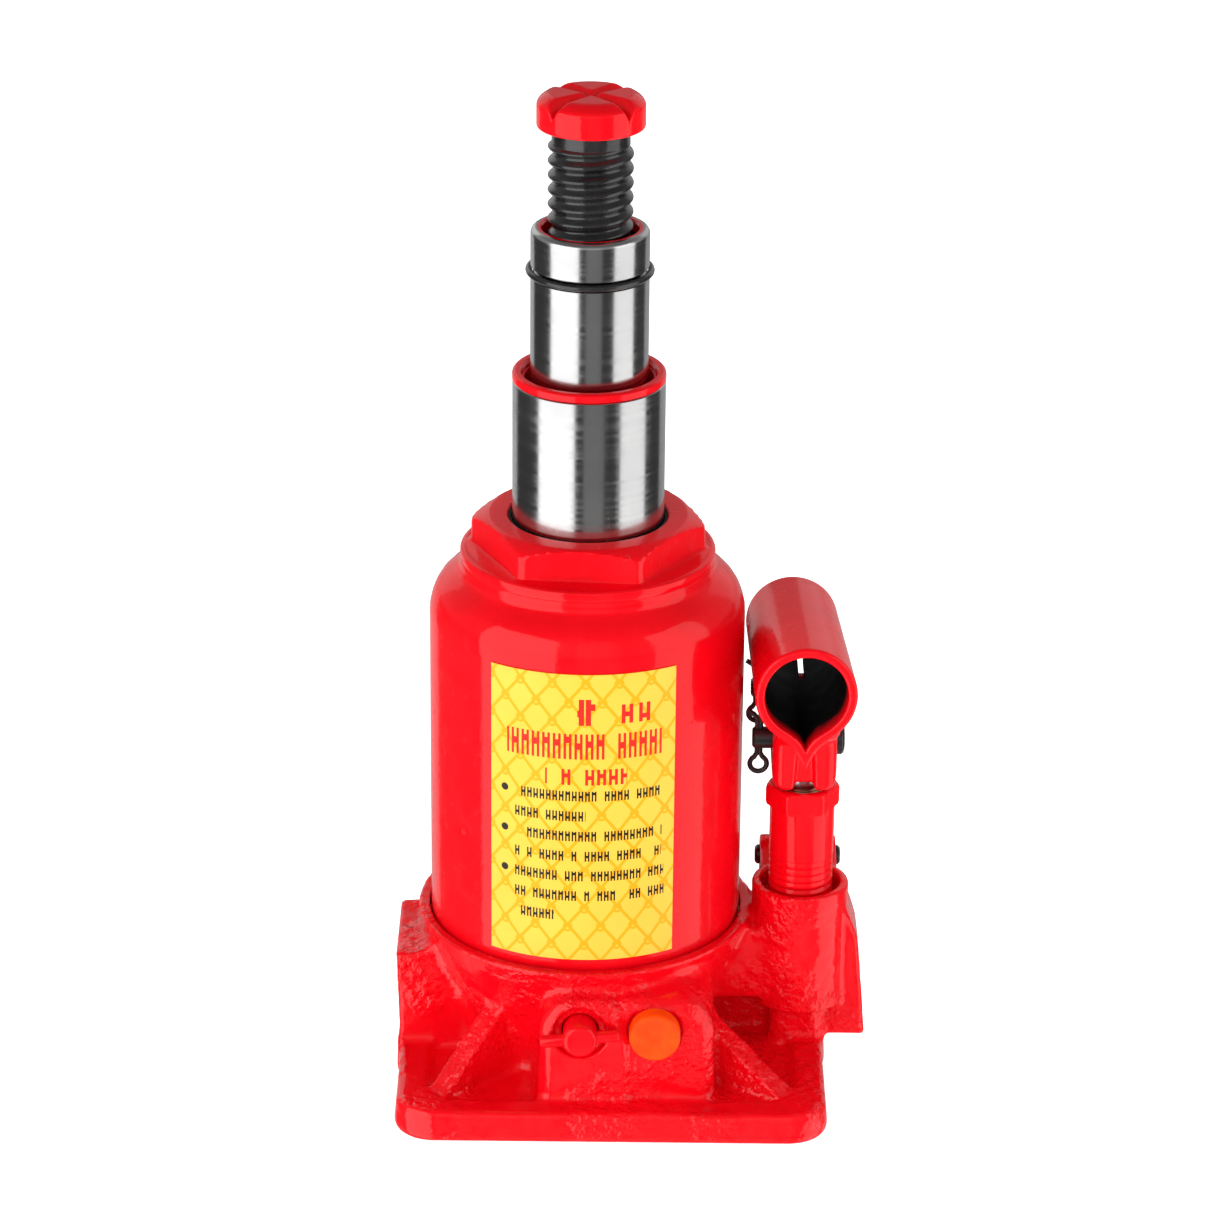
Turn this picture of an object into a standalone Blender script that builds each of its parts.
"""Two-stage hydraulic bottle jack, extended, built as an assembly of separate pieces.

Units are metres. The origin is on the ram axis at the underside of the base, +Z is up, +X points
to the pump and -Y is the front, where the release valve and the mouth of the handle socket are.
"""
import math

import bmesh
import bpy
from mathutils import Matrix, Vector

GAP = 0.0003                       # clearance between pieces that touch

ROD_TWIST = 0.11                   # keeps the corners of crossing drills off each other

# Base casting
PLATE_X = (-0.060, 0.078)
PLATE_Y = (-0.068, 0.068)
PLATE_TOP = 0.0105
PLATE_CORNER = 0.013
TRAY_FLOOR = 0.0075
TRAY_INSET = 0.011
RIB_WIDTH = 0.0075
BOWL_TOP = 0.053
TANK_SEAT = 0.049
CYLINDER_SEAT = 0.020
OIL_FLOOR = 0.014
PASSAGE_Z = 0.017
SUCTION_X = 0.0405                  # drill from the tank down to the pump
SUCTION_Z = 0.0285

# Reservoir, cylinder and top nut
TANK_R = 0.050
TANK_WALL = 0.0028
TANK_SHOULDER = 0.155
TANK_TOP = 0.174
TANK_MOUTH_R = 0.0362
TANK_NECK_R = 0.0402
TANK_NECK_LOW = 0.171
CYLINDER_R = 0.032
CYLINDER_BORE_R = 0.0275
CYLINDER_TOP = 0.172
NUT_FLANGE_R = 0.0403
NUT_HEX_Z = (0.1775, 0.1882)
NUT_HEX_R = 0.0375
NUT_TURN = math.radians(-4.5)
NUT_BORE_R = 0.0248

# Rams, screw and saddle, in the extended position
OUTER_RAM_R = 0.0239
OUTER_RAM_BORE_R = 0.0205
OUTER_RAM_Z = (0.0783, 0.2332)
OUTER_RIM_TOP = 0.236
INNER_RAM_R = 0.0184
INNER_RAM_Z = (0.1263, 0.2824)
SCREW_HOLE_R = 0.0146
SCREW_HOLE_FLOOR = 0.182
STOP_RING_Z = 0.2687
STOP_RING_WIRE_R = 0.0013
STOP_RING_R = 0.0190
SCREW_R = 0.0135
SCREW_ROOT_R = 0.0117
SCREW_PITCH = 0.0046
SCREW_Z = (0.216, 0.3141)
SCREW_NECK = 0.0045
SCREW_TIP = 0.0040
SADDLE_R = 0.0167
SADDLE_CROWN_R = 0.0128
SADDLE_Z = (0.3144, 0.3260)

# Pump, link and handle socket
PUMP_X = 0.0696
PUMP_Y = -0.006
PUMP_BOSS_R = 0.0156
PUMP_BOSS_TOP = 0.064
BARREL_R = 0.0104
BARREL_Z = (0.0335, 0.0985)
BARREL_HEX_Z = 0.0915
BARREL_HEX_R = 0.0120
BARREL_BORE_R = 0.0062
PLUNGER_R = 0.0059
PLUNGER_PIN_Z = 0.114
PLUNGER_PIN_R = 0.0035
LINK_LOWER = Vector((PUMP_X, 0.020, 0.060))
LINK_UPPER = Vector((PUMP_X, 0.019, 0.1205))
LINK_PIN_R = 0.0032
CHEEK_HALF = 0.0103
CHEEK_WALL = 0.0030
SPLIT_PIN_X = PUMP_X - 0.0145
SOCKET_FRONT = Vector((0.06855, -0.040, 0.1429))
SOCKET_REAR = Vector((0.0660, 0.028, 0.1409))
SOCKET_R = (0.0160, 0.0148)
SOCKET_BORE_R = (0.0130, 0.0122)

# Front boss with the release valve and the safety valve
BOSS_X = (-0.0114, 0.0414)
BOSS_SPLIT_X = 0.0156
BOSS_FACE_Y = -0.057
BOSS_TOP = 0.044
RELEASE_X = -0.001
RELEASE_Z = 0.0345
RELEASE_STEM_R = 0.0054
RELEASE_END_Y = -0.065
CROSS_PIN_LENGTH = 0.0254
CROSS_PIN_R = 0.0020
CROSS_PIN_TILT = math.radians(6.0)
SAFETY_X = 0.0226
SAFETY_Z = 0.035
SAFETY_CAP_R = 0.0081


# ---------------------------------------------------------------- scene, materials, placing

def empty_scene():
    for obj in list(bpy.data.objects):
        bpy.data.objects.remove(obj, do_unlink=True)


def new_collection(name):
    collection = bpy.data.collections.new(name)
    bpy.context.scene.collection.children.link(collection)
    return collection


def new_material(name, colour, roughness, metallic=0.0):
    material = bpy.data.materials.new(name)
    material.use_nodes = True
    shader = material.node_tree.nodes["Principled BSDF"]
    shader.inputs["Base Color"].default_value = (*colour, 1.0)
    shader.inputs["Roughness"].default_value = roughness
    shader.inputs["Metallic"].default_value = metallic
    return material


empty_scene()
JACK = new_collection("bottle_jack")
TOOLS = new_collection("tools")
MATERIALS = {
    "red_paint": new_material("red_paint", (0.75, 0.01, 0.02), 0.25),
    "cast_red": new_material("cast_red", (0.68, 0.01, 0.02), 0.45),
    "polished_steel": new_material("polished_steel", (0.80, 0.80, 0.82), 0.15, 1.0),
    "plain_steel": new_material("plain_steel", (0.55, 0.55, 0.57), 0.35, 1.0),
    "black_steel": new_material("black_steel", (0.02, 0.02, 0.02), 0.30, 0.6),
    "rubber": new_material("rubber", (0.03, 0.03, 0.03), 0.70),
    "orange_plastic": new_material("orange_plastic", (1.0, 0.12, 0.01), 0.35),
    "label": new_material("label", (0.97, 0.75, 0.13), 0.40),
    "copper": new_material("copper", (0.80, 0.42, 0.25), 0.35, 1.0),
}


def new_object(name, mesh):
    obj = bpy.data.objects.new(name, mesh)
    TOOLS.objects.link(obj)
    obj.hide_render = True
    obj.display_type = "WIRE"
    return obj


def finish_piece(obj, material, body=None):
    """Show a shaped object as a piece of the jack, and hang it on its body's empty."""
    obj.hide_render = False
    obj.display_type = "TEXTURED"
    TOOLS.objects.unlink(obj)
    JACK.objects.link(obj)
    obj.data.materials.clear()
    obj.data.materials.append(MATERIALS[material])
    if obj.type == "MESH":
        obj.data.shade_smooth()
        obj.data.set_sharp_from_angle(angle=math.radians(35.0))
    if body is not None:
        obj.parent = body
        obj.matrix_parent_inverse = Matrix.Translation(-body.location)
    return obj


def joint_empty(name, point):
    """An empty on a joint's axis, which carries the pieces of one moving body."""
    empty = bpy.data.objects.new(name, None)
    empty.location = point
    empty.empty_display_size = 0.02
    JACK.objects.link(empty)
    return empty


def aim(start, end):
    """The matrix that stands +Z of a shape along the line from start to end."""
    start = Vector(start)
    direction = Vector(end) - start
    return Matrix.Translation(start) @ direction.to_track_quat("Z", "Y").to_matrix().to_4x4()


# ---------------------------------------------------------------- shapes

def turned(name, profile, segments=32, ring=False, matrix=None):
    """A profile of (radius, height) points turned about Z, down its outer side.

    A ring's profile closes on itself, and any other starts and ends on the axis.
    """
    mesh = bpy.data.meshes.new(name)
    count = len(profile)
    edges = [(i, i + 1) for i in range(count - 1)]
    if ring:
        edges.append((count - 1, 0))
    mesh.from_pydata([(radius, 0.0, height) for radius, height in profile], edges, [])
    obj = new_object(name, mesh)
    if matrix is not None:
        obj.matrix_world = matrix
    screw = obj.modifiers.new("turn", "SCREW")
    screw.angle = math.tau
    screw.steps = segments
    screw.render_steps = segments
    screw.use_merge_vertices = True
    screw.merge_threshold = 0.00001
    return obj


def ring(name, outer, inner, low, high, segments=24, matrix=None):
    profile = [(outer, high), (outer, low), (inner, low), (inner, high)]
    return turned(name, profile, segments, True, matrix)


def rod(name, radius, start, end, segments=16, chamfer=0.0):
    """A round bar from start to end, with an optional chamfer at both ends."""
    length = (Vector(end) - Vector(start)).length
    if chamfer > 0.0:
        profile = [(0.0, length), (radius - chamfer, length), (radius, length - chamfer),
                   (radius, chamfer), (radius - chamfer, 0.0), (0.0, 0.0)]
    else:
        profile = [(0.0, length), (radius, length), (radius, 0.0), (0.0, 0.0)]
    place = aim(start, end) @ Matrix.Rotation(ROD_TWIST, 4, "Z")
    return turned(name, profile, segments, False, place)


def ball(name, radius, centre):
    mesh = bpy.data.meshes.new(name)
    shape = bmesh.new()
    bmesh.ops.create_uvsphere(shape, u_segments=12, v_segments=8, radius=radius)
    shape.to_mesh(mesh)
    shape.free()
    obj = new_object(name, mesh)
    obj.location = centre
    return obj


def box(name, low, high):
    low = Vector(low)
    high = Vector(high)
    mesh = bpy.data.meshes.new(name)
    shape = bmesh.new()
    bmesh.ops.create_cube(shape, size=1.0)
    bmesh.ops.scale(shape, vec=high - low, verts=shape.verts)
    shape.to_mesh(mesh)
    shape.free()
    obj = new_object(name, mesh)
    obj.location = (low + high) / 2.0
    return obj


def hexagon(name, radius, low, high, centre, turn=0.0):
    mesh = bpy.data.meshes.new(name)
    shape = bmesh.new()
    bmesh.ops.create_cone(shape, cap_ends=True, segments=6, radius1=radius, radius2=radius,
                          depth=high - low)
    shape.to_mesh(mesh)
    shape.free()
    obj = new_object(name, mesh)
    obj.location = (*centre, (low + high) / 2.0)
    obj.rotation_euler.z = turn
    return obj


def curve_to_mesh(obj):
    """Swap a curve object for a welded mesh object, so that it can be cut or joined."""
    bpy.context.view_layer.update()
    depsgraph = bpy.context.evaluated_depsgraph_get()
    mesh = bpy.data.meshes.new_from_object(obj.evaluated_get(depsgraph))
    shape = bmesh.new()
    shape.from_mesh(mesh)
    bmesh.ops.remove_doubles(shape, verts=shape.verts, dist=0.000001)
    shape.to_mesh(mesh)
    shape.free()
    solid = new_object(obj.name + "_solid", mesh)
    solid.matrix_world = obj.matrix_world.copy()
    bpy.data.objects.remove(obj, do_unlink=True)
    return solid


def plate(name, outline, low, high, plane="XY"):
    """A flat outline made thick from low to high, across the plane that it lies in."""
    curve = bpy.data.curves.new(name, "CURVE")
    curve.dimensions = "2D"
    curve.fill_mode = "BOTH"
    curve.extrude = (high - low) / 2.0
    spline = curve.splines.new("POLY")
    spline.points.add(len(outline) - 1)
    for point, (across, up) in zip(spline.points, outline):
        point.co = (across, up, 0.0, 1.0)
    spline.use_cyclic_u = True
    obj = new_object(name, curve)
    middle = (low + high) / 2.0
    if plane == "XY":
        obj.matrix_world = Matrix.Translation((0.0, 0.0, middle))
    elif plane == "XZ":
        obj.matrix_world = Matrix.Translation((0.0, middle, 0.0)) @ Matrix.Rotation(math.pi / 2, 4, "X")
    else:
        upright = Matrix(((0.0, 0.0, 1.0), (1.0, 0.0, 0.0), (0.0, 1.0, 0.0))).to_4x4()
        obj.matrix_world = Matrix.Translation((middle, 0.0, 0.0)) @ upright
    solid = curve_to_mesh(obj)
    solid.name = name
    return solid


def arc(centre, radius, start, end, steps=6):
    """Points on an arc, with its angles in degrees."""
    angles = [math.radians(start + (end - start) * i / steps) for i in range(steps + 1)]
    return [(centre[0] + radius * math.cos(a), centre[1] + radius * math.sin(a)) for a in angles]


def rounded_rectangle(x_range, y_range, radius):
    (x0, x1), (y0, y1) = x_range, y_range
    return (arc((x1 - radius, y0 + radius), radius, -90.0, 0.0)
            + arc((x1 - radius, y1 - radius), radius, 0.0, 90.0)
            + arc((x0 + radius, y1 - radius), radius, 90.0, 180.0)
            + arc((x0 + radius, y0 + radius), radius, 180.0, 270.0))


def arch(x_range, low, top, radius):
    """An upright outline with rounded upper corners."""
    x0, x1 = x_range
    return ([(x0, low), (x1, low)]
            + arc((x1 - radius, top - radius), radius, 0.0, 90.0)
            + arc((x0 + radius, top - radius), radius, 90.0, 180.0))


def capsule(start, end, radius, steps=8):
    """The outline of a bar with round ends."""
    turn = math.degrees(math.atan2(end[1] - start[1], end[0] - start[0]))
    return (arc(end, radius, turn - 90.0, turn + 90.0, steps)
            + arc(start, radius, turn + 90.0, turn + 270.0, steps))


def boolean(obj, tool, operation):
    modifier = obj.modifiers.new(tool.name, "BOOLEAN")
    modifier.operation = operation
    modifier.object = tool
    modifier.solver = "EXACT"
    return obj


def cut(obj, *tools):
    for tool in tools:
        boolean(obj, tool, "DIFFERENCE")
    return obj


def join(obj, *tools):
    for tool in tools:
        boolean(obj, tool, "UNION")
    return obj


def round_edges(obj, width, segments=1, angle=40.0):
    bevel = obj.modifiers.new("round_edges", "BEVEL")
    bevel.width = width
    bevel.segments = segments
    bevel.limit_method = "ANGLE"
    bevel.angle_limit = math.radians(angle)
    return obj


def wire(name, points, radius, cyclic=False):
    curve = bpy.data.curves.new(name, "CURVE")
    curve.dimensions = "3D"
    curve.bevel_depth = radius
    curve.bevel_resolution = 2
    curve.use_fill_caps = not cyclic
    spline = curve.splines.new("POLY")
    spline.points.add(len(points) - 1)
    for point, place in zip(spline.points, points):
        point.co = (*place, 1.0)
    spline.use_cyclic_u = cyclic
    return new_object(name, curve)


def spring(name, radius, wire_radius, start, end, turns, steps_per_turn=10):
    """A coil spring whose wire runs from start to end."""
    place = aim(start, end)
    length = (Vector(end) - Vector(start)).length
    count = turns * steps_per_turn
    points = []
    for i in range(count + 1):
        angle = math.tau * i / steps_per_turn
        points.append(place @ Vector((radius * math.cos(angle), radius * math.sin(angle),
                                      length * i / count)))
    return wire(name, points, wire_radius)


# ---------------------------------------------------------------- base

def bowl():
    """The flared bowl that carries the tank, with a fillet where it meets the tray."""
    profile = [(0.0, BOWL_TOP), (0.0532, BOWL_TOP), (0.0540, 0.0522), (0.0520, 0.0470), (0.0485, 0.0390),
               (0.0450, 0.0310), (0.0420, 0.0200), (0.0405, 0.0130), (0.0420, 0.0095),
               (0.0455, 0.0070), (0.0455, 0.0050), (0.0, 0.0050)]
    return turned("bowl", profile, 36)


def rib(name, inner, outer):
    """A sloping web on the tray, from inside the bowl out to a corner."""
    inner = Vector((*inner, 0.0))
    outer = Vector((*outer, 0.0))
    run = (outer - inner).length
    outline = [(0.0, 0.005), (run, 0.005), (run, 0.0095), (run * 0.22, 0.032), (0.0, 0.036)]
    solid = plate(name, outline, -RIB_WIDTH / 2.0, RIB_WIDTH / 2.0, "XZ")
    turn = math.atan2(outer.y - inner.y, outer.x - inner.x)
    solid.matrix_world = Matrix.Translation(inner) @ Matrix.Rotation(turn, 4, "Z") @ solid.matrix_world
    return solid


def link_ear(name, x_range):
    y, z = LINK_LOWER.y, LINK_LOWER.z
    outline = [(0.0, 0.036), (0.010, 0.040)] + arc((y, z), 0.0066, -50.0, 110.0, 8) + [(0.0, 0.062)]
    return plate(name, outline, *x_range, "YZ")


def base_shapes():
    left_slab = [(-0.060, 0.005), (-0.035, 0.005), (-0.035, 0.052), (-0.046, 0.051), (-0.052, 0.0425),
                 (-0.060, 0.0425)]
    web = [(0.030, 0.005), (PUMP_X, 0.005), (PUMP_X, 0.050), (0.052, 0.0515), (0.030, 0.0515)]
    lug = [(0.060, 0.0115), (0.0912, 0.0115), (0.0882, 0.049), (0.0840, 0.056), (0.060, 0.056)]
    left_lobe = (BOSS_X[0], BOSS_SPLIT_X)
    right_lobe = (BOSS_SPLIT_X - 0.004, BOSS_X[1])
    return [
        bowl(),
        rib("rib_front_left", (-0.024, -0.031), (-0.047, -0.054)),
        rib("rib_back_left", (-0.024, 0.031), (-0.047, 0.054)),
        rib("rib_front_right", (0.028, -0.027), (0.066, -0.053)),
        rib("rib_back_right", (0.028, 0.027), (0.066, 0.053)),
        plate("left_slab", left_slab, -0.020, 0.020, "XZ"),
        plate("boss_left", arch(left_lobe, 0.005, BOSS_TOP, 0.012), BOSS_FACE_Y - 0.0015, -0.030, "XZ"),
        plate("boss_right", arch(right_lobe, 0.005, BOSS_TOP - 0.0005, 0.012), BOSS_FACE_Y, -0.030, "XZ"),
        plate("pump_web", web, -0.018, 0.012, "XZ"),
        box("pump_column", (0.060, -0.015, 0.005), (0.0772, 0.011, 0.032)),
        plate("right_lug", lug, -0.0125, 0.0105, "XZ"),
        rod("pump_boss", PUMP_BOSS_R, (PUMP_X, PUMP_Y, 0.023), (PUMP_X, PUMP_Y, PUMP_BOSS_TOP), 24, 0.0012),
        link_ear("ear_left", (0.0572, 0.0626)),
        link_ear("ear_right", (0.0766, 0.0820)),
    ]


def base_cuts():
    top = BOWL_TOP + 0.01
    front = BOSS_FACE_Y - 0.01
    pump = (PUMP_X, PUMP_Y)
    release_drill = (RELEASE_X, -0.0366)
    safety_drill = (SAFETY_X, -0.0380)
    return [
        rod("tank_recess", TANK_R + 0.0004, (0.0, 0.0, TANK_SEAT), (0.0, 0.0, top), 36),
        rod("cylinder_bore", CYLINDER_R + GAP, (0.0, 0.0, CYLINDER_SEAT), (0.0, 0.0, top), 28),
        rod("oil_well", CYLINDER_BORE_R + GAP, (0.0, 0.0, OIL_FLOOR), (0.0, 0.0, 0.030), 24),
        rod("barrel_recess", 0.0128, (*pump, 0.058), (*pump, 0.075), 22),
        rod("barrel_bore", BARREL_R + GAP, (*pump, 0.0322), (*pump, 0.070), 24),
        rod("pump_chamber", 0.0045, (*pump, 0.0235), (*pump, 0.040), 16),
        rod("delivery_drill", 0.0022, (PUMP_X + 0.0002, PUMP_Y, PASSAGE_Z), (PUMP_X, PUMP_Y, 0.030), 9),
        rod("delivery_passage", 0.0020, (0.022, PUMP_Y, PASSAGE_Z), (0.100, PUMP_Y, PASSAGE_Z), 8),
        rod("passage_mouth", 0.0043, (0.0815, PUMP_Y, PASSAGE_Z + 0.003),
            (0.100, PUMP_Y, PASSAGE_Z + 0.003), 16),
        rod("suction_drill", 0.0022, (SUCTION_X, PUMP_Y, SUCTION_Z), (SUCTION_X, PUMP_Y, top), 8),
        rod("strainer_seat", 0.0042, (SUCTION_X, PUMP_Y, 0.0465), (SUCTION_X, PUMP_Y, top), 12),
        rod("suction_passage", 0.0020, (SUCTION_X, PUMP_Y, SUCTION_Z), (PUMP_X, PUMP_Y, SUCTION_Z), 8),
        rod("release_bore", RELEASE_STEM_R + GAP, (RELEASE_X, front, RELEASE_Z),
            (RELEASE_X, -0.0430, RELEASE_Z), 24),
        rod("release_seat", 0.0040, (RELEASE_X, -0.0440, RELEASE_Z), (RELEASE_X, -0.0380, RELEASE_Z), 12),
        rod("release_drill", 0.0020, (*release_drill, PASSAGE_Z), (*release_drill, top), 8),
        rod("release_passage", 0.0018, (RELEASE_X, -0.0370, PASSAGE_Z), (RELEASE_X, -0.0240, PASSAGE_Z), 8),
        rod("safety_spotface", SAFETY_CAP_R + 0.0006, (SAFETY_X, front, SAFETY_Z),
            (SAFETY_X, BOSS_FACE_Y + 0.0001, SAFETY_Z), 28),
        rod("safety_bore", 0.0055, (SAFETY_X, front, SAFETY_Z), (SAFETY_X, -0.0440, SAFETY_Z), 20),
        rod("safety_seat", 0.0030, (SAFETY_X, -0.0450, SAFETY_Z), (SAFETY_X, -0.0385, SAFETY_Z), 12),
        rod("safety_drill", 0.0018, (*safety_drill, PASSAGE_Z), (*safety_drill, top), 8),
        rod("safety_passage", 0.0016, (*safety_drill, PASSAGE_Z), (SAFETY_X, -0.0120, PASSAGE_Z), 8),
        rod("ear_bore", LINK_PIN_R + GAP, (0.045, LINK_LOWER.y, LINK_LOWER.z),
            (0.095, LINK_LOWER.y, LINK_LOWER.z), 16),
    ]


def base_casting():
    base = plate("base_casting", rounded_rectangle(PLATE_X, PLATE_Y, PLATE_CORNER), 0.0, PLATE_TOP)
    round_edges(base, 0.0012, 1)
    inset_x = (PLATE_X[0] + TRAY_INSET, PLATE_X[1] - TRAY_INSET)
    inset_y = (PLATE_Y[0] + TRAY_INSET, PLATE_Y[1] - TRAY_INSET)
    cut(base, plate("tray", rounded_rectangle(inset_x, inset_y, 0.008), TRAY_FLOOR, 0.02))
    join(base, *base_shapes())
    cut(base, *base_cuts())
    finish_piece(base, "cast_red")


def base_fittings():
    finish_piece(rod("suction_strainer", 0.0039, (SUCTION_X, PUMP_Y, 0.0468),
                     (SUCTION_X, PUMP_Y, 0.0486), 16), "plain_steel")
    finish_piece(rod("passage_plug", 0.0040, (0.0818, PUMP_Y, PASSAGE_Z + 0.003),
                     (0.0892, PUMP_Y, PASSAGE_Z + 0.003), 16, 0.0006), "plain_steel")
    finish_piece(ball("delivery_ball", 0.0032, (PUMP_X, PUMP_Y, 0.0268)), "polished_steel")
    finish_piece(ball("release_ball", 0.0030, (RELEASE_X, -0.0412, RELEASE_Z)), "polished_steel")
    finish_piece(ring("cylinder_gasket", CYLINDER_R - GAP, CYLINDER_BORE_R, CYLINDER_SEAT + GAP,
                      CYLINDER_SEAT + 0.0013, 24), "copper")
    finish_piece(ring("tank_gasket", TANK_R - 0.0002, TANK_R - 0.0035, TANK_SEAT + GAP,
                      TANK_SEAT + 0.0015, 28), "rubber")


def safety_valve():
    y_ball = -0.0427
    seat_y = -0.0455
    finish_piece(ball("safety_ball", 0.0022, (SAFETY_X, y_ball, SAFETY_Z)), "polished_steel")
    finish_piece(spring("safety_spring", 0.0032, 0.0005, (SAFETY_X, seat_y, SAFETY_Z),
                        (SAFETY_X, -0.0505, SAFETY_Z), 3, 8), "plain_steel")
    finish_piece(rod("safety_screw", 0.0050, (SAFETY_X, -0.0515, SAFETY_Z),
                     (SAFETY_X, -0.0545, SAFETY_Z), 20), "plain_steel")
    cap_profile = [(0.0, 0.0076), (SAFETY_CAP_R - 0.0010, 0.0076), (SAFETY_CAP_R - 0.0003, 0.0073),
                   (SAFETY_CAP_R, 0.0066), (SAFETY_CAP_R, 0.0025), (0.0051, 0.0025), (0.0050, 0.0),
                   (0.0, 0.0)]
    place = aim((SAFETY_X, -0.0549, SAFETY_Z), (SAFETY_X, -0.0649, SAFETY_Z))
    finish_piece(turned("safety_valve_cap", cap_profile, 24, False, place), "orange_plastic")


# ---------------------------------------------------------------- reservoir, cylinder, top nut

def shoulder(start_r, start_z, end_r, end_z, steps):
    """A quarter-round shoulder from a vertical wall to a flat top."""
    points = []
    for i in range(steps + 1):
        angle = math.pi / 2 * i / steps
        points.append((end_r + (start_r - end_r) * math.cos(angle),
                       start_z + (end_z - start_z) * math.sin(angle)))
    return points


def reservoir_tank():
    low = TANK_SEAT + 0.0018
    outer = shoulder(TANK_R, TANK_SHOULDER, TANK_NECK_R, TANK_NECK_LOW, 5)
    outer += [(TANK_NECK_R, TANK_TOP - 0.0006), (TANK_NECK_R - 0.0006, TANK_TOP)]
    inner = shoulder(TANK_R - TANK_WALL, TANK_SHOULDER, TANK_MOUTH_R + 0.0010, TANK_TOP - TANK_WALL, 2)
    profile = ([(TANK_MOUTH_R, TANK_TOP)] + outer[::-1] + [(TANK_R, low), (TANK_R - TANK_WALL, low)]
               + inner + [(TANK_MOUTH_R, TANK_TOP - TANK_WALL)])
    tank = turned("reservoir_tank", profile, 44, True)
    fill_z = 0.140
    cut(tank, rod("fill_hole", 0.0043, (0.0, TANK_R - 0.006, fill_z), (0.0, TANK_R + 0.004, fill_z), 16))
    finish_piece(tank, "red_paint")
    plug = [(0.0, 0.0076), (0.0050, 0.0076), (0.0062, 0.0068), (0.0064, 0.0056), (0.0040, 0.0056),
            (0.0039, 0.0), (0.0, 0.0)]
    place = aim((0.0, 0.0452, fill_z), (0.0, 0.0552, fill_z))
    finish_piece(turned("oil_fill_plug", plug, 20, False, place), "rubber")


def info_label():
    """A thin sheet wrapped round the front of the tank."""
    inner = TANK_R + 0.00025
    outer = TANK_R + 0.00055
    start, end = math.radians(-125.5), math.radians(-56.6)
    steps = 18
    angles = [start + (end - start) * i / steps for i in range(steps + 1)]
    outline = [(outer * math.cos(a), outer * math.sin(a)) for a in angles]
    outline += [(inner * math.cos(a), inner * math.sin(a)) for a in reversed(angles)]
    finish_piece(plate("info_label", outline, 0.0565, 0.1544), "label")


def main_cylinder():
    body = ring("main_cylinder", CYLINDER_R, CYLINDER_BORE_R, CYLINDER_SEAT + 0.0016, CYLINDER_TOP, 28)
    finish_piece(body, "plain_steel")


def top_nut():
    """A flanged hexagonal nut: its skirt screws over the cylinder and its flange holds the tank."""
    flange_low = TANK_TOP + 0.0015
    top = NUT_HEX_Z[1]
    hexagonal = hexagon("top_nut", NUT_HEX_R, NUT_HEX_Z[0] - 0.0005, top, (0.0, 0.0),
                        math.radians(30.0) + NUT_TURN)
    round_edges(hexagonal, 0.0012, 1, 25.0)
    body = turned("nut_flange", [(0.0, NUT_HEX_Z[0]), (NUT_FLANGE_R - 0.0006, NUT_HEX_Z[0]),
                                 (NUT_FLANGE_R, NUT_HEX_Z[0] - 0.0008), (NUT_FLANGE_R, flange_low),
                                 (TANK_MOUTH_R - GAP, flange_low), (TANK_MOUTH_R - GAP, 0.152),
                                 (0.0, 0.152)], 32)
    skirt_bore = rod("skirt_bore", CYLINDER_R + GAP, (0.0, 0.0, 0.150), (0.0, 0.0, CYLINDER_TOP + GAP), 36)
    ram_bore = rod("ram_bore", NUT_BORE_R - 0.0004, (0.0, 0.0, 0.165), (0.0, 0.0, top + 0.01), 40)
    wiper_seat = rod("wiper_seat", 0.0272, (0.0, 0.0, top - 0.0045), (0.0, 0.0, top + 0.01), 32)
    finish_piece(cut(join(hexagonal, body), skirt_bore, ram_bore, wiper_seat), "red_paint")
    wiper = [(0.0269, top - 0.0006), (0.0269, top - 0.0042), (0.0243, top - 0.0042), (0.0243, top - 0.0016),
             (0.0250, top - 0.0006)]
    finish_piece(turned("wiper_seal", wiper, 28, True), "rubber")
    finish_piece(ring("nut_gasket", TANK_NECK_R - 0.0009, TANK_MOUTH_R + 0.0012, TANK_TOP + GAP,
                      TANK_TOP + 0.0012, 28), "rubber")


# ---------------------------------------------------------------- rams, screw, saddle

def cup_seal(name, outer, inner, low, high, body):
    """A ring with a lip that opens downwards, towards the oil."""
    lip = (outer - inner) * 0.35
    profile = [(outer, high), (outer, low), (outer - lip, low), (inner + lip, high - 0.0018),
               (inner, high - 0.0018), (inner, high)]
    finish_piece(turned(name, profile, 20, True), "rubber", body)


def outer_ram_pieces(body):
    low, top = OUTER_RAM_Z
    finish_piece(ring("outer_ram", OUTER_RAM_R, OUTER_RAM_BORE_R, low, top, 36), "polished_steel", body)
    piston = [(0.0202, 0.0835), (0.0202, 0.0780), (0.0271, 0.0780), (0.0271, 0.0663), (0.0219, 0.0663),
              (0.0219, 0.0622), (0.0206, 0.0622), (0.0206, 0.0600), (0.0150, 0.0600), (0.0150, 0.0835)]
    finish_piece(turned("outer_ram_piston", piston, 24, True), "plain_steel", body)
    cup_seal("outer_ram_cup_seal", 0.0271, 0.0222, 0.0625, 0.0660, body)
    finish_piece(ring("outer_ram_snap_ring", 0.0238, 0.0209, 0.0611, 0.0618, 24), "plain_steel", body)
    rim = OUTER_RIM_TOP
    guide = [(0.0213, rim), (0.0232, rim), (0.0240, rim - 0.0007), (0.0240, top + GAP),
             (0.0202, top + GAP), (0.0202, 0.2050), (0.0187, 0.2050), (0.0187, 0.2322), (0.0213, 0.2345)]
    finish_piece(turned("outer_ram_guide_ring", guide, 32, True), "red_paint", body)


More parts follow.
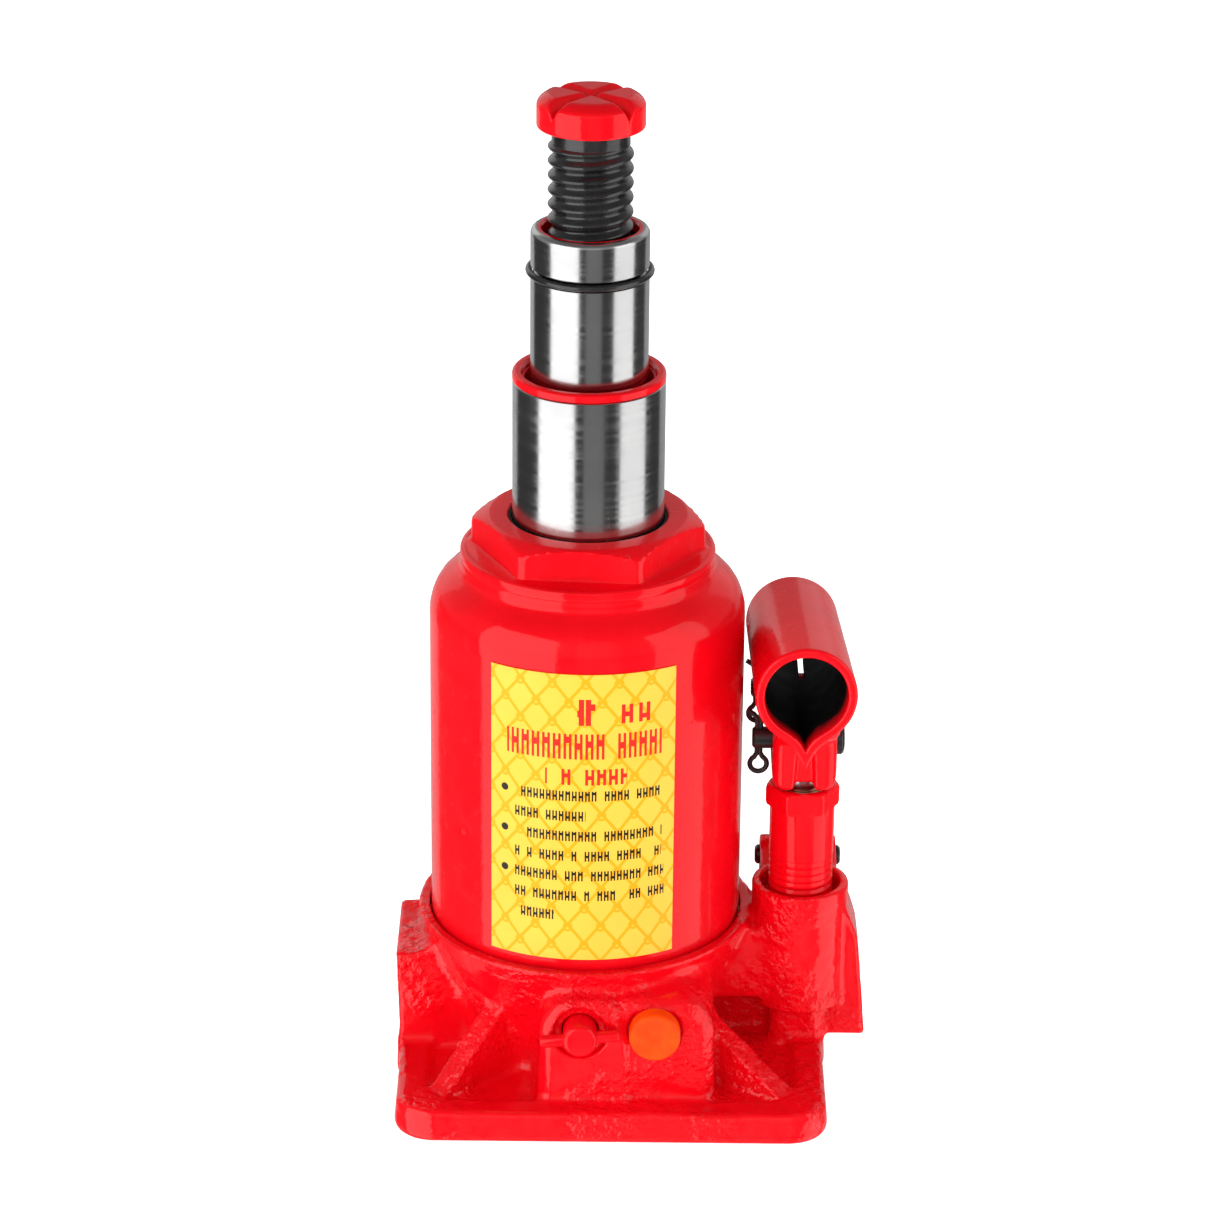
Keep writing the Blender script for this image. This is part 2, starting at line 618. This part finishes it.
def inner_ram_pieces(body):
    low, top = INNER_RAM_Z
    groove_half = STOP_RING_WIRE_R + 0.0003
    groove_r = STOP_RING_R - STOP_RING_WIRE_R - GAP
    profile = [(SCREW_HOLE_R, top), (INNER_RAM_R - 0.0020, top), (INNER_RAM_R - 0.0006, top - 0.0006),
               (INNER_RAM_R, top - 0.0020), (INNER_RAM_R, STOP_RING_Z + groove_half),
               (groove_r, STOP_RING_Z + groove_half), (groove_r, STOP_RING_Z - groove_half),
               (INNER_RAM_R, STOP_RING_Z - groove_half), (INNER_RAM_R, low), (0.0090, low),
               (0.0090, low - 0.0137), (0.0, low - 0.0137)]
    solid = [(0.0, SCREW_HOLE_FLOOR), (SCREW_HOLE_R, SCREW_HOLE_FLOOR)] + profile
    finish_piece(turned("inner_ram", solid, 32), "polished_steel", body)
    piston = [(0.0201, 0.1260), (0.0201, 0.1183), (0.0093, 0.1183), (0.0093, 0.1260)]
    finish_piece(turned("inner_ram_piston", piston, 24, True), "plain_steel", body)
    cup_seal("inner_ram_cup_seal", 0.0201, 0.0093, 0.1140, 0.1180, body)
    steps = 24
    circle = [(STOP_RING_R * math.cos(math.tau * i / steps), STOP_RING_R * math.sin(math.tau * i / steps),
               STOP_RING_Z) for i in range(8, steps + 5)]
    finish_piece(wire("inner_ram_stop_ring", circle, STOP_RING_WIRE_R), "black_steel", body)


def screw_radius(angle, height):
    """The rounded right-hand thread, which fades into a plain neck at the top and a plain tip."""
    low, top = SCREW_Z
    middle = (SCREW_R + SCREW_ROOT_R) / 2.0
    swing = (SCREW_R - SCREW_ROOT_R) / 2.0
    radius = middle + swing * math.cos(math.tau * height / SCREW_PITCH - angle)
    neck = top - SCREW_NECK
    if height > neck or height < low + SCREW_TIP:
        return SCREW_ROOT_R
    return radius


def extension_screw(body):
    low, top = SCREW_Z
    rings = round((top - low) / SCREW_PITCH * 3)
    heights = [top - (top - low) * i / rings for i in range(rings + 1)]
    stub = 0.0088
    profile = [(0.0, top + 0.0047), (stub, top + 0.0047), (stub, top)]
    profile += [(SCREW_ROOT_R, height) for height in heights] + [(0.0, low)]
    obj = turned("extension_screw", profile, 12)
    bpy.context.view_layer.update()
    depsgraph = bpy.context.evaluated_depsgraph_get()
    mesh = bpy.data.meshes.new_from_object(obj.evaluated_get(depsgraph))
    for vertex in mesh.vertices:
        place = vertex.co
        if math.hypot(place.x, place.y) > SCREW_ROOT_R - 0.0005:
            angle = math.atan2(place.y, place.x)
            radius = screw_radius(angle, place.z)
            place.x = radius * math.cos(angle)
            place.y = radius * math.sin(angle)
    bpy.data.objects.remove(obj, do_unlink=True)
    finish_piece(new_object("extension_screw", mesh), "black_steel", body)


def screw_stop_ring(body):
    """The ring on the screw's plain tip, which stops it from being wound right out."""
    low = SCREW_Z[0]
    finish_piece(ring("screw_stop_ring", SCREW_HOLE_R - 0.0004, SCREW_ROOT_R + GAP, low + 0.0008,
                      low + 0.0028), "plain_steel", body)


def saddle(body):
    low, top = SADDLE_Z
    rim = 0.0010
    profile = [(0.0, top), (SADDLE_CROWN_R, top), (SADDLE_R - rim, top - 2.6 * rim),
               (SADDLE_R, top - 3.8 * rim), (SADDLE_R, low + 1.5 * rim), (SADDLE_R - 1.5 * rim, low),
               (0.0091, low), (0.0091, low + 0.0047), (0.0, low + 0.0047)]
    obj = turned("saddle", profile, 28)
    for turn in (45.0, 135.0):
        groove = box("saddle_groove", (-0.0026, -0.025, -0.0026), (0.0026, 0.025, 0.0026))
        groove.matrix_world = (Matrix.Translation((0.0, 0.0, top + 0.0008))
                               @ Matrix.Rotation(math.radians(turn), 4, "Z")
                               @ Matrix.Rotation(math.radians(45.0), 4, "Y"))
        cut(obj, groove)
    finish_piece(obj, "red_paint", body)


# ---------------------------------------------------------------- release valve

def release_valve(body):
    axis = (RELEASE_X, RELEASE_Z)
    end = RELEASE_END_Y

    def at(y):
        return (axis[0], y, axis[1])

    length = -0.0447 - end
    profile = [(0.0, length), (RELEASE_STEM_R - 0.0008, length), (RELEASE_STEM_R, length - 0.0008),
               (RELEASE_STEM_R, 0.0052), (0.0040, 0.0052), (0.0040, 0.0030), (RELEASE_STEM_R, 0.0030),
               (RELEASE_STEM_R, 0.0010), (0.0036, 0.0), (0.0, 0.0)]
    stem = turned("release_stem", profile, 20, False, aim(at(-0.0447), at(end)))
    middle_y = end + 0.0032
    half = Vector((math.cos(CROSS_PIN_TILT), 0.0, math.sin(CROSS_PIN_TILT))) * CROSS_PIN_LENGTH / 2.0
    centre = Vector(at(middle_y))
    cut(stem, rod("cross_hole", CROSS_PIN_R + GAP, centre - half, centre + half, 12))
    finish_piece(stem, "red_paint", body)
    pin = rod("release_cross_pin", CROSS_PIN_R, centre - half, centre + half, 14, 0.0005)
    finish_piece(pin, "red_paint", body)
    finish_piece(ring("release_stem_seal", 0.0053, 0.0043, 0.0033, 0.0049, 20,
                      aim(at(-0.0447), at(end))), "rubber", body)


# ---------------------------------------------------------------- pump, link, handle socket

def pump_barrel():
    low, top = BARREL_Z
    thread_low, thread_high = 0.060, 0.0735
    profile = [(0.0, BARREL_HEX_Z + 0.001), (BARREL_R, BARREL_HEX_Z + 0.001)]
    pitch = 0.0027
    turns = round((thread_high - thread_low) / pitch)
    for i in range(turns):
        height = thread_high - i * pitch
        profile += [(BARREL_R, height), (BARREL_R - 0.0006, height - pitch / 2.0)]
    profile += [(BARREL_R, thread_low), (BARREL_R, low), (0.0, low)]
    barrel = turned("pump_barrel", profile, 20)
    head = hexagon("barrel_head", BARREL_HEX_R, BARREL_HEX_Z, top, (PUMP_X, PUMP_Y), math.radians(2.0))
    round_edges(head, 0.0008, 1, 25.0)
    bore = rod("plunger_bore", BARREL_BORE_R, (PUMP_X, PUMP_Y, low - 0.01), (PUMP_X, PUMP_Y, top + 0.01), 20)
    seal_seat = rod("seal_seat", 0.0086, (PUMP_X, PUMP_Y, top - 0.0060), (PUMP_X, PUMP_Y, top + 0.01), 20)
    barrel.location = (PUMP_X, PUMP_Y, 0.0)
    finish_piece(cut(join(barrel, head), bore, seal_seat), "red_paint")
    centre = Matrix.Translation((PUMP_X, PUMP_Y, 0.0))
    finish_piece(ring("pump_packing", 0.0083, 0.0062, top - 0.0057, top - 0.0030, 20, centre), "rubber")
    finish_piece(ring("packing_washer", 0.0083, 0.0062, top - 0.0027, top - 0.0010, 20, centre), "copper")
    finish_piece(ring("barrel_washer", BARREL_R - 0.0002, 0.0065, 0.0325, 0.0332, 20, centre), "copper")


def pump_plunger(body):
    foot = 0.0400
    head_low = 0.1055
    plunger = rod("pump_plunger", PLUNGER_R, (PUMP_X, PUMP_Y, foot + 0.0032),
                  (PUMP_X, PUMP_Y, head_low + 0.003), 20)
    head_half = 0.0068
    outline = ([(PUMP_Y + 0.0060, head_low), (PUMP_Y + 0.0060, PLUNGER_PIN_Z)]
               + arc((PUMP_Y, PLUNGER_PIN_Z), 0.0060, 15.0, 165.0, 8)
               + [(PUMP_Y - 0.0060, PLUNGER_PIN_Z), (PUMP_Y - 0.0060, head_low)])
    head = plate("plunger_head", outline, PUMP_X - head_half, PUMP_X + head_half, "YZ")
    eye = rod("plunger_eye", PLUNGER_PIN_R + GAP, (PUMP_X - 0.02, PUMP_Y, PLUNGER_PIN_Z),
              (PUMP_X + 0.02, PUMP_Y, PLUNGER_PIN_Z), 16)
    finish_piece(cut(join(plunger, head), eye), "polished_steel", body)
    finish_piece(rod("plunger_cup", 0.0060, (PUMP_X, PUMP_Y, foot), (PUMP_X, PUMP_Y, foot + 0.0029), 20),
                 "rubber", body)
    clevis_pin("plunger_pin", (PUMP_Y, PLUNGER_PIN_Z), PLUNGER_PIN_R, body)
    split_pin("plunger_split_pin", (PUMP_Y, PLUNGER_PIN_Z), body)


def clevis_pin(name, place, radius, body):
    """A headed pin across the socket's cheeks, cross-drilled near its left end."""
    y, z = place
    left = PUMP_X - 0.0166
    right = PUMP_X + CHEEK_HALF + GAP
    pin = rod(name, radius, (left, y, z), (right + 0.0010, y, z), 14, 0.0006)
    head = rod(name + "_head", radius + 0.0017, (right, y, z), (right + 0.0022, y, z), 16, 0.0004)
    hole = rod(name + "_hole", 0.0016, (SPLIT_PIN_X, y, z - 0.01), (SPLIT_PIN_X, y, z + 0.01), 10)
    finish_piece(cut(join(pin, head), hole), "black_steel", body)


def split_pin(name, place, body):
    """A split pin: an eye below the clevis pin, and a shank that passes through it."""
    y, z = place
    x = SPLIT_PIN_X
    eye_r = 0.0027
    eye_z = z - 0.0092
    eye = arc((x, eye_z), eye_r, -60.0, 240.0, 10)
    loop = wire(name + "_loop", [(px, y, pz) for px, pz in eye], 0.0009)
    loop = curve_to_mesh(loop)
    shank = rod(name, 0.0012, (x, y, eye_z + eye_r), (x, y, z + 0.0072), 10)
    leg = rod(name + "_leg", 0.0009, (x, y, z + 0.0066), (x - 0.0040, y, z + 0.0096), 8)
    finish_piece(join(shank, loop, leg), "black_steel", body)


def link(body):
    half = 0.0058
    low = (LINK_LOWER.y, LINK_LOWER.z)
    high = (LINK_UPPER.y, LINK_UPPER.z)
    bar = plate("link", capsule(low, high, 0.0047), PUMP_X - half, PUMP_X + half, "YZ")
    eyes = []
    for place in (low, high):
        eyes.append(rod("link_eye", LINK_PIN_R + GAP, (PUMP_X - 0.02, *place), (PUMP_X + 0.02, *place), 16))
    finish_piece(cut(bar, *eyes), "red_paint", body)


def link_pins(link_body):
    y, z = LINK_LOWER.y, LINK_LOWER.z
    lower = rod("link_lower_pin", LINK_PIN_R, (0.0556, y, z), (0.0836, y, z), 14, 0.0005)
    finish_piece(lower, "black_steel")
    clevis_pin("link_upper_pin", (LINK_UPPER.y, LINK_UPPER.z), LINK_PIN_R, link_body)
    split_pin("link_split_pin", (LINK_UPPER.y, LINK_UPPER.z), link_body)


def handle_socket(body):
    """A tube for the handle on two cheeks, which a folded front wall joins below its mouth."""
    direction = (SOCKET_REAR - SOCKET_FRONT).normalized()
    length = (SOCKET_REAR - SOCKET_FRONT).length
    place = aim(SOCKET_FRONT, SOCKET_REAR)
    front_r, rear_r = SOCKET_R
    tube = turned("handle_socket", [(0.0, length), (rear_r, length), (front_r, 0.0), (0.0, 0.0)], 28,
                  False, place)
    legs = [(-0.0163, 0.0996), (0.0080, 0.1016), (0.0150, 0.1125)]
    legs += arc((LINK_UPPER.y, LINK_UPPER.z), 0.0072, -55.0, 20.0, 5)
    legs += [(0.0262, 0.1340), (-0.0330, 0.1340), (-0.0370, 0.1270), (-0.0180, 0.1190)]
    cheeks = plate("cheeks", legs, PUMP_X - CHEEK_HALF, PUMP_X + CHEEK_HALF, "YZ")
    round_edges(cheeks, 0.0030, 2, 60.0)
    gap_half = CHEEK_HALF - CHEEK_WALL
    gap = box("cheek_gap", (PUMP_X - gap_half, PUMP_Y - 0.0072, 0.095),
              (PUMP_X + gap_half, 0.040, LINK_UPPER.z + 0.0055))
    bore_front = SOCKET_FRONT - direction * 0.005
    bore_rear = SOCKET_REAR + direction * 0.005
    bore = turned("socket_bore", [(0.0, length + 0.010), (SOCKET_BORE_R[1], length + 0.010),
                                  (SOCKET_BORE_R[0], 0.0), (0.0, 0.0)], 24, False,
                  aim(bore_front, bore_rear))
    fold = new_object("fold", bpy.data.meshes.new("fold"))
    shape = bmesh.new()
    bmesh.ops.create_cone(shape, cap_ends=True, segments=4, radius1=0.0088, radius2=0.0020, depth=0.040)
    shape.to_mesh(fold.data)
    shape.free()
    fold.matrix_world = (aim(SOCKET_FRONT + Vector((0.0, -0.003, -0.0085)),
                             SOCKET_FRONT + Vector((0.0, 0.040, -0.0060)))
                         @ Matrix.Translation((0.0, 0.0, 0.020)))
    lock_hole = rod("lock_hole", 0.0024, (0.040, 0.014, 0.142), (0.062, 0.014, 0.142), 12)
    seam = box("seam", (0.0655, 0.0195, 0.120), (0.0680, 0.040, 0.136))
    pin_slot = plate("pin_slot", capsule((PUMP_Y, PLUNGER_PIN_Z), (PUMP_Y + 0.0021, PLUNGER_PIN_Z + 0.0006),
                                         PLUNGER_PIN_R + 0.0006), PUMP_X - 0.02, PUMP_X + 0.02, "YZ")
    upper_hole = rod("upper_hole", LINK_PIN_R + GAP, (PUMP_X - 0.02, LINK_UPPER.y, LINK_UPPER.z),
                     (PUMP_X + 0.02, LINK_UPPER.y, LINK_UPPER.z), 16)
    join(tube, cheeks)
    cut(tube, gap, bore, fold, lock_hole, seam, pin_slot, upper_hole)
    finish_piece(tube, "red_paint", body)


# ---------------------------------------------------------------- the whole jack

def build():
    base_casting()
    base_fittings()
    safety_valve()
    main_cylinder()
    reservoir_tank()
    info_label()
    top_nut()
    outer_ram_pieces(joint_empty("outer_ram_axis", (0.0, 0.0, OUTER_RAM_Z[0])))
    inner_ram_pieces(joint_empty("inner_ram_axis", (0.0, 0.0, INNER_RAM_Z[0])))
    screw_stop_ring(joint_empty("screw_stop_axis", (0.0, 0.0, SCREW_Z[0])))
    screw_body = joint_empty("screw_axis", (0.0, 0.0, SCREW_Z[0]))
    extension_screw(screw_body)
    saddle(screw_body)
    release_valve(joint_empty("release_axis", (RELEASE_X, BOSS_FACE_Y, RELEASE_Z)))
    pump_barrel()
    pump_plunger(joint_empty("plunger_axis", (PUMP_X, PUMP_Y, PLUNGER_PIN_Z)))
    link_body = joint_empty("link_axis", LINK_LOWER)
    link(link_body)
    link_pins(link_body)
    handle_socket(joint_empty("handle_axis", LINK_UPPER))


build()
